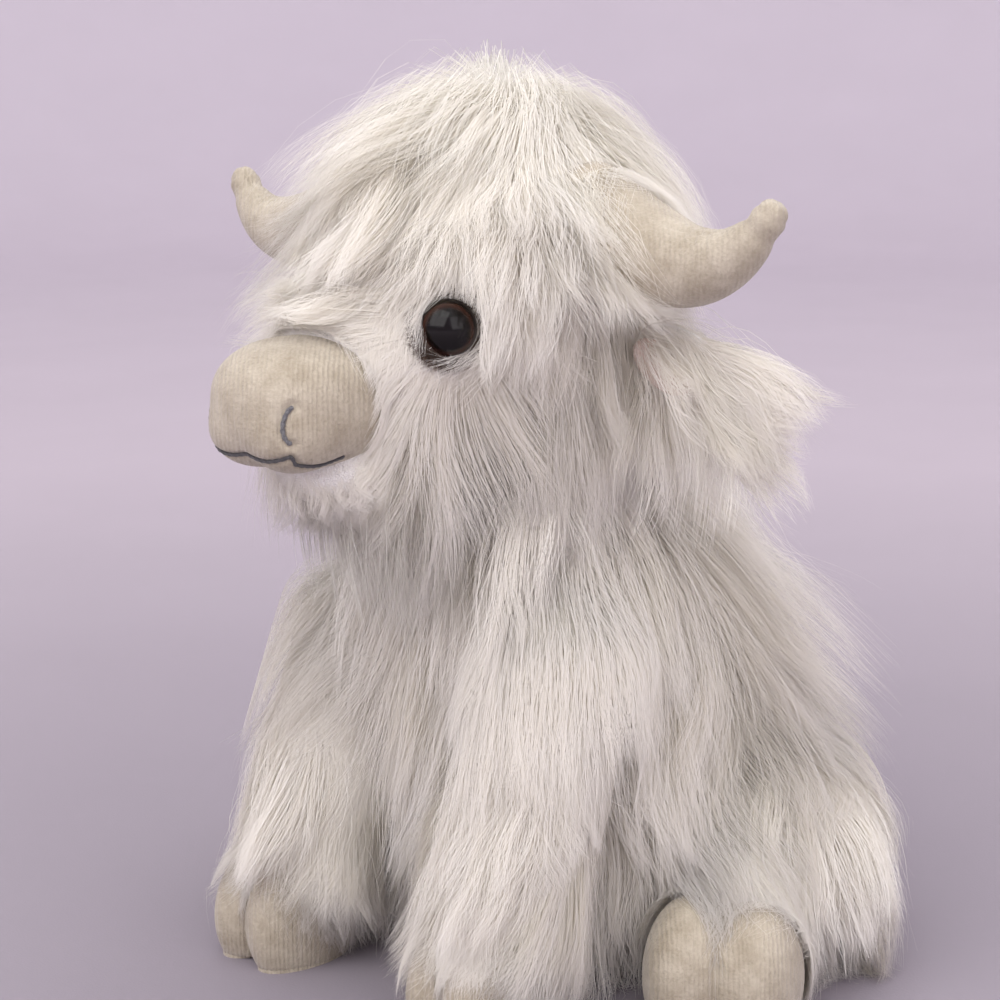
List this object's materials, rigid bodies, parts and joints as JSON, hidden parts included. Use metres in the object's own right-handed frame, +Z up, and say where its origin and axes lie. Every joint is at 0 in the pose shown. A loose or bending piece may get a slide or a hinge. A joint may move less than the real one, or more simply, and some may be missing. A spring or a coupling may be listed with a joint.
{
  "type": "plush highland cow",
  "caption": "Seated soft toy cow with long white pile, velour muzzle, curved horns, drooping ears, hooved legs and a tail, sewn in stuffed sections.",
  "frame": {"origin": "on the floor, below the centre of the toy's bounding box", "axes": "+Z up, -Y the way the toy faces, +X the toy's left"},
  "size_m": [0.2716, 0.2798, 0.335],
  "materials": {
    "long_pile_fur": "long silky white faux fur",
    "velour": "short cream velour",
    "ear_lining": "short pinkish velour",
    "seat_fabric": "short white pile",
    "fibre_fill": "loose polyester fibre",
    "pellet_pouch": "plain woven pouch of pellets",
    "eye_plastic": "glossy brown iris with a black pupil",
    "washer_plastic": "moulded natural plastic",
    "eye_patch": "short dark brown pile",
    "nostril_thread": "grey embroidery thread",
    "mouth_thread": "charcoal embroidery thread"
  },
  "bodies": {
    "torso": {"torso_left_panel": "long_pile_fur", "torso_right_panel": "long_pile_fur", "base_panel": "seat_fabric", "torso_stuffing": "fibre_fill", "bean_pouch": "pellet_pouch"},
    "head": {"head_left_panel": "long_pile_fur", "head_right_panel": "long_pile_fur", "head_stuffing": "fibre_fill", "forelock": "long_pile_fur", "chin_fur": "long_pile_fur", "muzzle_cover": "velour", "muzzle_stuffing": "fibre_fill", "mouth_stitches": "mouth_thread", "nostril_left": "nostril_thread", "nostril_right": "nostril_thread", "horn_left_cover": "velour", "horn_right_cover": "velour", "horn_left_stuffing": "fibre_fill", "horn_right_stuffing": "fibre_fill", "eye_left": "eye_plastic", "eye_right": "eye_plastic", "eye_left_washer": "washer_plastic", "eye_right_washer": "washer_plastic", "eye_left_patch": "eye_patch", "eye_right_patch": "eye_patch"},
    "ear_left": {"ear_left_fur": "long_pile_fur", "ear_left_lining": "ear_lining"},
    "ear_right": {"ear_right_fur": "long_pile_fur", "ear_right_lining": "ear_lining"},
    "front_leg_left": {"front_leg_left_sleeve": "long_pile_fur", "front_leg_left_stuffing": "fibre_fill", "front_hoof_left": "velour", "front_sole_left": "velour"},
    "front_leg_right": {"front_leg_right_sleeve": "long_pile_fur", "front_leg_right_stuffing": "fibre_fill", "front_hoof_right": "velour", "front_sole_right": "velour"},
    "hind_leg_left": {"hind_leg_left_sleeve": "long_pile_fur", "hind_leg_left_stuffing": "fibre_fill", "hind_hoof_left": "velour", "hind_sole_left": "velour"},
    "hind_leg_right": {"hind_leg_right_sleeve": "long_pile_fur", "hind_leg_right_stuffing": "fibre_fill", "hind_hoof_right": "velour", "hind_sole_right": "velour"},
    "tail": {"tail_cord": "long_pile_fur", "tail_tuft": "long_pile_fur"}
  },
  "joints": [
    {"name": "head_nod", "type": "hinge", "parent": "torso", "child": "head", "pos_m": [0, 0, 0.176], "axis": [1, 0, 0], "range_deg": [-10, 10], "stiffness_Nm_per_rad": 2},
    {"name": "ear_left_flap", "type": "hinge", "parent": "head", "child": "ear_left", "pos_m": [0.0655, -0.014, 0.238], "axis": [0, 1, 0], "range_deg": [-4, 25], "stiffness_Nm_per_rad": 0.05},
    {"name": "ear_right_flap", "type": "hinge", "parent": "head", "child": "ear_right", "pos_m": [-0.0655, -0.014, 0.238], "axis": [0, -1, 0], "range_deg": [-4, 25], "stiffness_Nm_per_rad": 0.05},
    {"name": "front_leg_left_lift", "type": "hinge", "parent": "torso", "child": "front_leg_left", "pos_m": [0.051, -0.036, 0.122], "axis": [-1, 0, 0], "range_deg": [-2, 25], "stiffness_Nm_per_rad": 1},
    {"name": "front_leg_right_lift", "type": "hinge", "parent": "torso", "child": "front_leg_right", "pos_m": [-0.051, -0.036, 0.122], "axis": [-1, 0, 0], "range_deg": [-2, 25], "stiffness_Nm_per_rad": 1},
    {"name": "hind_leg_left_splay", "type": "hinge", "parent": "torso", "child": "hind_leg_left", "pos_m": [0.08, 0.05, 0.05], "axis": [0, 0, 1], "range_deg": [-6, 12], "stiffness_Nm_per_rad": 1},
    {"name": "hind_leg_right_splay", "type": "hinge", "parent": "torso", "child": "hind_leg_right", "pos_m": [-0.08, 0.05, 0.05], "axis": [0, 0, -1], "range_deg": [-6, 12], "stiffness_Nm_per_rad": 1},
    {"name": "tail_lift", "type": "hinge", "parent": "torso", "child": "tail", "pos_m": [0, 0.107, 0.104], "axis": [1, 0, 0], "range_deg": [0, 40], "stiffness_Nm_per_rad": 0.1}
  ]
}
